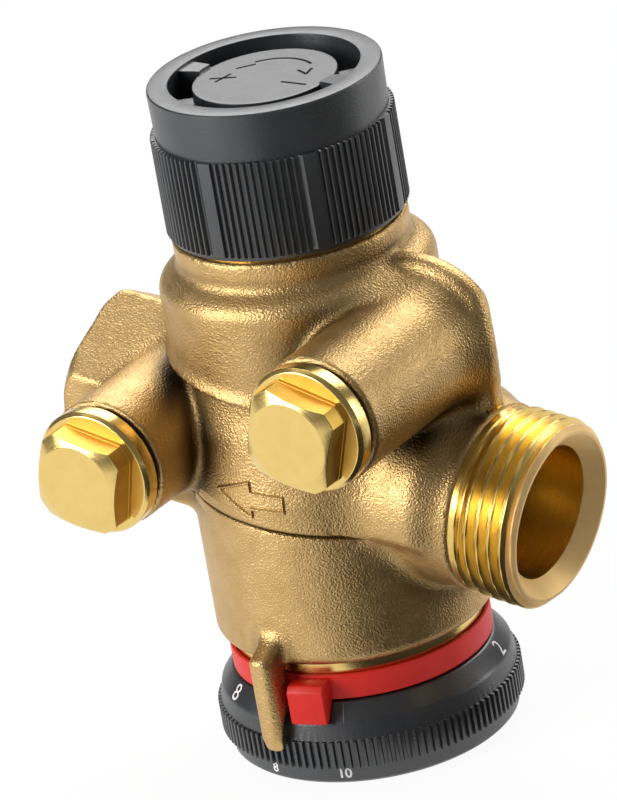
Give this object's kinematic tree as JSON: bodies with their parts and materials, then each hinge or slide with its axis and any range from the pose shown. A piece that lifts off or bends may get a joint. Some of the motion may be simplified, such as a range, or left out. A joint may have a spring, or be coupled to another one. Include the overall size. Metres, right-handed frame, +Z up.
{
  "type": "flow regulating valve",
  "caption": "Brass flow regulating valve with a leaning pipe, screw cap over the actuator thread, test plugs and a setting wheel with a locking ring.",
  "frame": {"origin": "centre of the setting wheel's flat underside, on the main axis", "axes": "+Z up the main axis to the cap; the pipe axis lies in the XZ plane and leans 10 degrees, its threaded inlet toward +X; the test plugs face -Y"},
  "size_m": [0.0756, 0.0558, 0.097],
  "materials": {
    "cast_brass": "sandblasted casting",
    "turned_brass": "bright turned",
    "dark_plastic": "satin moulded",
    "red_plastic": "moulded",
    "inner_plastic": "moulded",
    "seal_rubber": "matt",
    "steel": "drawn"
  },
  "bodies": {
    "casing": {"valve_body": "cast_brass", "bonnet": "turned_brass", "bonnet_seal": "seal_rubber", "gland_seal": "seal_rubber", "gland_nut": "turned_brass", "seat_ring": "turned_brass", "left_plug": "turned_brass", "left_plug_seal": "seal_rubber", "right_plug": "turned_brass", "right_plug_seal": "seal_rubber", "bottom_cover": "inner_plastic", "cover_seal": "seal_rubber", "clamp_ring": "turned_brass"},
    "stem": {"stem": "steel", "spring_collar": "steel", "collar_clip": "steel", "return_spring": "steel", "valve_disc": "steel", "disc_seal": "seal_rubber"},
    "cap": {"protective_cap": "dark_plastic"},
    "wheel": {"hand_wheel": "dark_plastic", "wheel_screw": "steel", "screw_cover": "dark_plastic", "setting_spindle": "turned_brass", "spindle_seal": "seal_rubber", "spindle_clip": "steel", "setting_sleeve": "inner_plastic"},
    "ring": {"locking_ring": "red_plastic"},
    "regulator": {"regulator_cup": "inner_plastic", "cup_nut": "turned_brass", "regulator_spring": "steel", "diaphragm": "seal_rubber"}
  },
  "joints": [
    {"name": "stem_lift", "type": "slide", "parent": "casing", "child": "stem", "axis": [0, 0, 1], "range_m": [0, 0.003], "deforming": ["return_spring"]},
    {"name": "cap_turn", "type": "hinge", "parent": "stem", "child": "cap", "pos_m": [0, 0, 0.08], "axis": [0, 0, 1], "range_deg": [0, 720.6]},
    {"name": "wheel_turn", "type": "hinge", "parent": "casing", "child": "wheel", "pos_m": [0, 0, 0], "axis": [0, 0, 1], "range_deg": [-43, 286]},
    {"name": "ring_slide", "type": "slide", "parent": "casing", "child": "ring", "axis": [0, 0, 1], "range_m": [0, 0.0016]},
    {"name": "regulator_slide", "type": "slide", "parent": "casing", "child": "regulator", "axis": [0, 0, 1], "range_m": [0, 0.0025], "stiffness_N_per_m": 800, "springref_m": -0.004, "deforming": ["regulator_spring", "diaphragm"]}
  ],
  "couplings": [
    {"joint": "cap_turn", "follows": "stem_lift", "rad_per_m": 4188.8}
  ]
}
